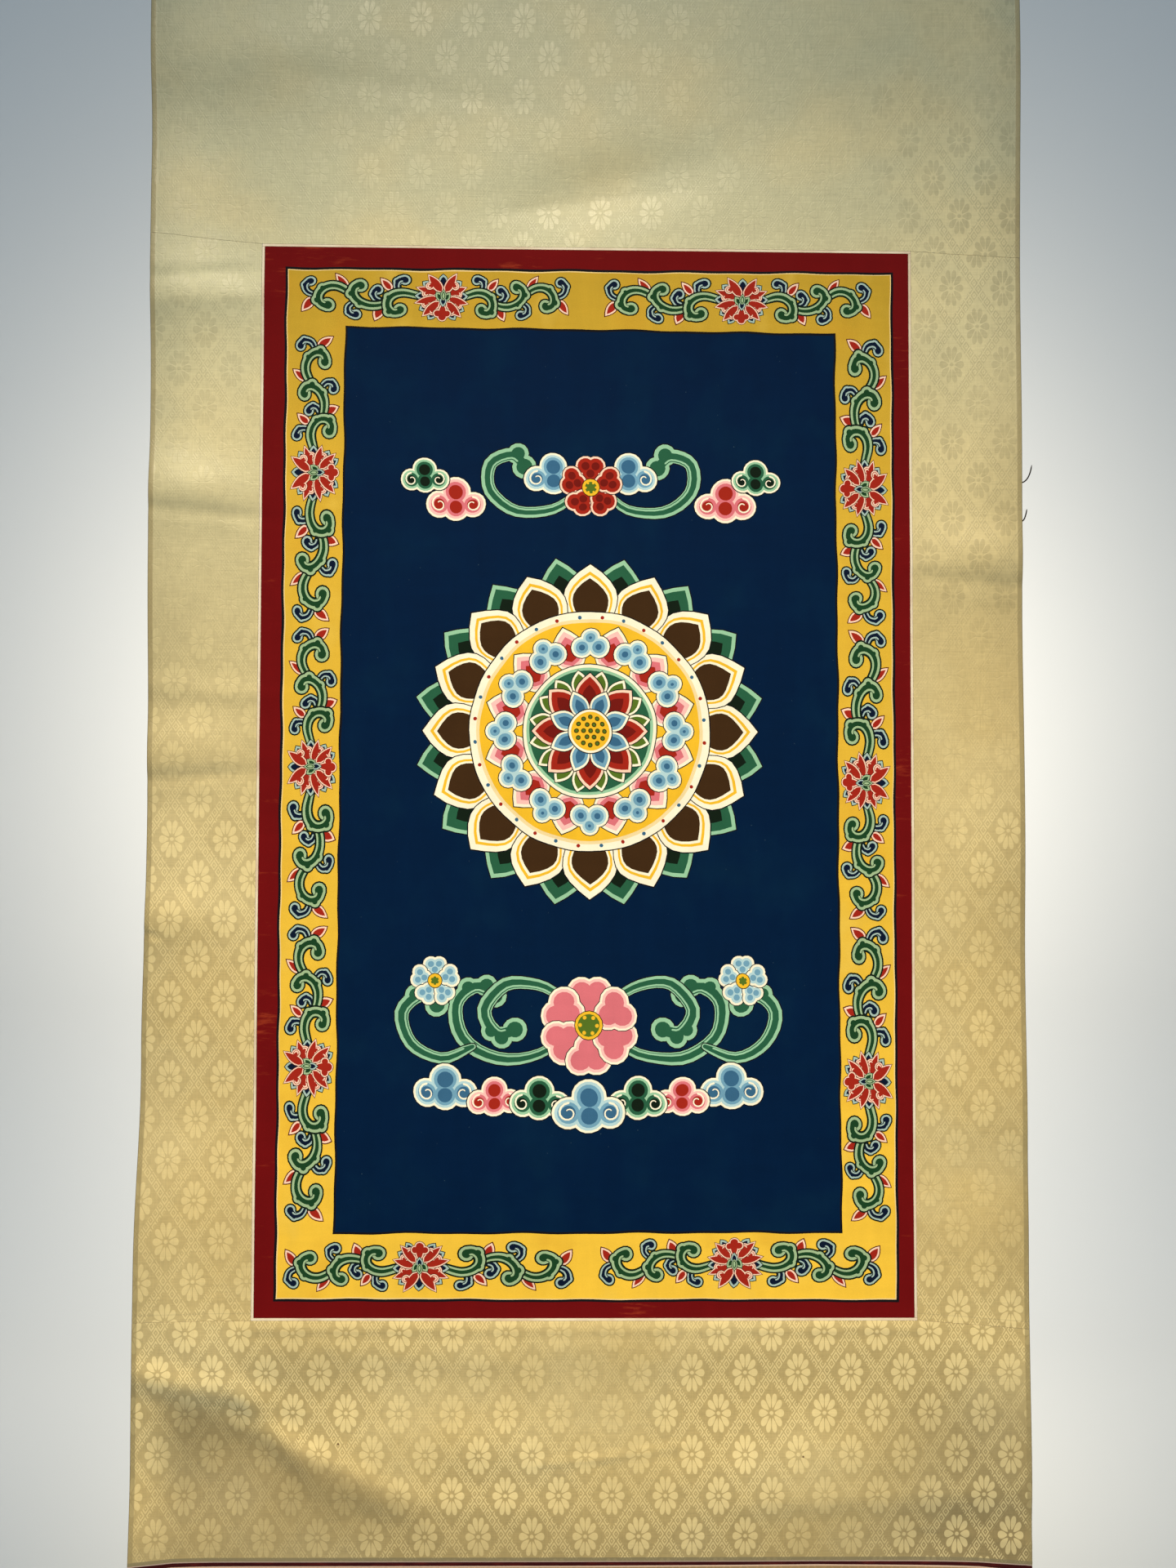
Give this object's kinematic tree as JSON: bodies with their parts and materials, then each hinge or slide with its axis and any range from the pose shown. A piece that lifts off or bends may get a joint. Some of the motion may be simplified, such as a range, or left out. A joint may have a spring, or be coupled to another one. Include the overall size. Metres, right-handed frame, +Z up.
{
  "type": "hanging scroll painting",
  "caption": "Tall hanging scroll: a painted sheet with a flowered gold border, set in patterned damask silk panels with pale edging lines.",
  "frame": {"origin": "middle of the top edge, half way through the sheet", "axes": "+Z up along the hanging sheet, +X to the viewer's right, +Y away from the viewer, so the painted front faces -Y"},
  "size_m": [0.797, 0.0117, 1.76],
  "materials": {
    "damask_silk": "pale gold-green silk damask with woven flowers, soft sheen",
    "painted_paper": "matt mineral colours: navy ground, gold-yellow border, red outer band",
    "pale_paper": "pale pink-white edging paper",
    "dark_red_silk": "dark red silk line",
    "earth_brocade": "warm gold-brown silk brocade, soft sheen"
  },
  "bodies": {
    "root": {"upper_brocade_panel": "damask_silk", "left_brocade_strip": "damask_silk", "right_brocade_strip": "damask_silk", "lower_brocade_panel": "damask_silk", "painting_sheet": "painted_paper", "edging_top": "pale_paper", "edging_bottom": "pale_paper", "edging_left": "pale_paper", "edging_right": "pale_paper", "lower_red_strip": "dark_red_silk", "earth_brocade_panel": "earth_brocade"}
  },
  "joints": []
}
